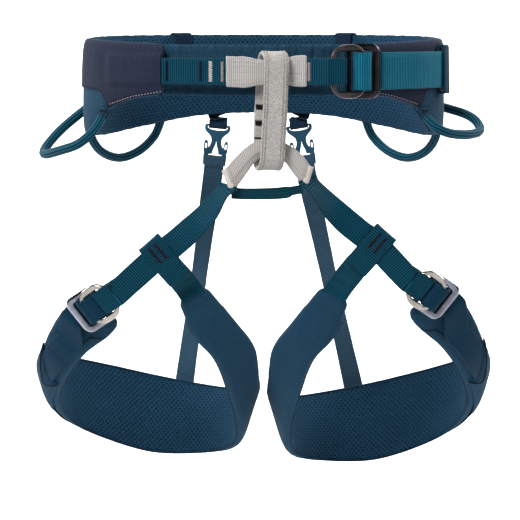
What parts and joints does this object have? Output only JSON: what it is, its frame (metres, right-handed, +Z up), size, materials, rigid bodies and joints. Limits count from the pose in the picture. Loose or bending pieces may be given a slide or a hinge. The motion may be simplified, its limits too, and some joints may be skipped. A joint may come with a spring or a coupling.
{
  "type": "climbing harness",
  "caption": "Padded sport climbing harness with adjustable leg loops, textile tie-in points, belay loop, gear loops and elastic rear straps.",
  "frame": {"origin": "centre of the waist opening, at mid height of the front tie-in webbing's lower edge", "axes": "+Z up the wearer's body, -Y towards the wearer's front, +X towards the waist buckle's side"},
  "size_m": [0.3899, 0.2396, 0.3808],
  "materials": {
    "mesh_lining": "perforated mesh",
    "foam": "closed-cell foam",
    "webbing": "woven, ribbed across",
    "pad_fabric": "fine woven nylon",
    "binding": "folded tape",
    "cover_fabric": "fine twill",
    "loop_fabric": "abrasion-resistant webbing",
    "elastic": "elastic webbing",
    "loop_cord": "braided cover over a tube",
    "dark_metal": "black anodised",
    "light_metal": "polished",
    "clip_plastic": "satin"
  },
  "bodies": {
    "belt": {"waist_lining": "mesh_lining", "waist_foam": "foam", "waist_load_webbing": "webbing", "waist_shell": "pad_fabric", "waist_edge_binding": "binding", "waist_cover_left": "cover_fabric", "waist_cover_right": "cover_fabric", "buckle_guard": "pad_fabric", "tie_in_webbing": "webbing", "tie_in_sleeve_upper": "loop_fabric", "tie_in_sleeve_lower": "loop_fabric", "tie_in_core_lower": "webbing", "leg_cross_strap": "webbing", "waist_strap": "webbing", "waist_buckle_ring": "dark_metal", "waist_strap_keeper": "elastic", "gear_loop_anchors": "binding", "tool_tabs": "webbing", "rear_tab_left": "binding", "rear_tab_right": "binding", "rear_clip_male_left": "clip_plastic", "rear_clip_male_right": "clip_plastic", "rear_clip_female_left": "clip_plastic", "rear_clip_female_right": "clip_plastic", "rear_elastic_left": "elastic", "rear_elastic_right": "elastic"},
    "leg_left": {"leg_lining_left": "mesh_lining", "leg_foam_left": "foam", "leg_shell_left": "pad_fabric", "leg_edge_binding_left": "binding", "leg_pocket_left": "pad_fabric", "leg_load_webbing_left": "webbing", "leg_riser_left": "webbing", "leg_branch_left": "webbing", "leg_strap_left": "webbing", "leg_buckle_ring_left": "light_metal"},
    "leg_right": {"leg_lining_right": "mesh_lining", "leg_foam_right": "foam", "leg_shell_right": "pad_fabric", "leg_edge_binding_right": "binding", "leg_pocket_right": "pad_fabric", "leg_load_webbing_right": "webbing", "leg_riser_right": "webbing", "leg_branch_right": "webbing", "leg_strap_right": "webbing", "leg_buckle_ring_right": "light_metal"},
    "belay": {"belay_loop": "loop_fabric"},
    "waist_frame": {"waist_buckle_frame": "dark_metal"},
    "leg_frame_left": {"leg_buckle_frame_left": "light_metal"},
    "leg_frame_right": {"leg_buckle_frame_right": "light_metal"},
    "gear_front_left": {"gear_loop_front_left": "loop_cord"},
    "gear_front_right": {"gear_loop_front_right": "loop_cord"},
    "gear_rear_left": {"gear_loop_rear_left": "loop_cord"},
    "gear_rear_right": {"gear_loop_rear_right": "loop_cord"},
    "prong_left_inner": {"clip_prong_left_inner": "clip_plastic"},
    "prong_left_outer": {"clip_prong_left_outer": "clip_plastic"},
    "prong_right_inner": {"clip_prong_right_inner": "clip_plastic"},
    "prong_right_outer": {"clip_prong_right_outer": "clip_plastic"}
  },
  "joints": [
    {"name": "belay_swivel", "type": "hinge", "parent": "belt", "child": "belay", "pos_m": [0.0056, -0.114, 0], "axis": [0, 0, 1], "range_deg": [-8, 8]},
    {"name": "leg_left_swing", "type": "hinge", "parent": "belt", "child": "leg_left", "pos_m": [0, -0.112, -0.079], "axis": [-1, 0, 0], "range_deg": [-8, 30], "stiffness_Nm_per_rad": 0.35, "springref_deg": -13.41, "deforming": ["rear_elastic_left"]},
    {"name": "leg_right_swing", "type": "hinge", "parent": "belt", "child": "leg_right", "pos_m": [0, -0.112, -0.0745], "axis": [-1, 0, 0], "range_deg": [-8, 30], "stiffness_Nm_per_rad": 0.35, "springref_deg": -13.52, "deforming": ["rear_elastic_right"]},
    {"name": "gear_front_left_lift", "type": "hinge", "parent": "belt", "child": "gear_front_left", "pos_m": [-0.14041, -0.01246, -0.021], "axis": [-0.1585, 0.9855, 0.0602], "range_deg": [-15, 36], "stiffness_Nm_per_rad": 0.03, "springref_deg": 0.97},
    {"name": "gear_front_right_lift", "type": "hinge", "parent": "belt", "child": "gear_front_right", "pos_m": [0.14041, -0.01246, -0.021], "axis": [-0.1585, -0.9855, -0.0602], "range_deg": [-15, 36], "stiffness_Nm_per_rad": 0.03, "springref_deg": 0.97},
    {"name": "gear_rear_left_lift", "type": "hinge", "parent": "belt", "child": "gear_rear_left", "pos_m": [-0.11398, 0.0714, -0.022], "axis": [0.7542, 0.6547, 0.0503], "range_deg": [-8, 45], "stiffness_Nm_per_rad": 0.03, "springref_deg": 0.4},
    {"name": "gear_rear_right_lift", "type": "hinge", "parent": "belt", "child": "gear_rear_right", "pos_m": [0.11398, 0.0714, -0.022], "axis": [0.7542, -0.6547, -0.0503], "range_deg": [-8, 45], "stiffness_Nm_per_rad": 0.03, "springref_deg": 0.4},
    {"name": "waist_frame_tilt", "type": "hinge", "parent": "belt", "child": "waist_frame", "pos_m": [0.08267, -0.10396, 0.0145], "axis": [0, 0, -1], "range_deg": [0, 20]},
    {"name": "leg_frame_left_tilt", "type": "hinge", "parent": "leg_left", "child": "leg_frame_left", "pos_m": [-0.14242, -0.09395, -0.182], "axis": [-0.7156, -0.0703, 0.6949], "range_deg": [0, 20]},
    {"name": "leg_frame_right_tilt", "type": "hinge", "parent": "leg_right", "child": "leg_frame_right", "pos_m": [0.14092, -0.09495, -0.171], "axis": [-0.7156, 0.0703, -0.6949], "range_deg": [0, 20]},
    {"name": "clip_left_inner_squeeze", "type": "hinge", "parent": "belt", "child": "prong_left_inner", "pos_m": [-0.04026, 0.107, -0.05418], "axis": [0, 1, 0], "range_deg": [0, 8], "stiffness_Nm_per_rad": 0.05},
    {"name": "clip_left_outer_squeeze", "type": "hinge", "parent": "belt", "child": "prong_left_outer", "pos_m": [-0.04374, 0.107, -0.05382], "axis": [0, -1, 0], "range_deg": [0, 8], "stiffness_Nm_per_rad": 0.05},
    {"name": "clip_right_inner_squeeze", "type": "hinge", "parent": "belt", "child": "prong_right_inner", "pos_m": [0.03227, 0.1075, -0.05427], "axis": [0, -1, 0], "range_deg": [0, 8], "stiffness_Nm_per_rad": 0.05},
    {"name": "clip_right_outer_squeeze", "type": "hinge", "parent": "belt", "child": "prong_right_outer", "pos_m": [0.03573, 0.1075, -0.05373], "axis": [0, 1, 0], "range_deg": [0, 8], "stiffness_Nm_per_rad": 0.05}
  ]
}
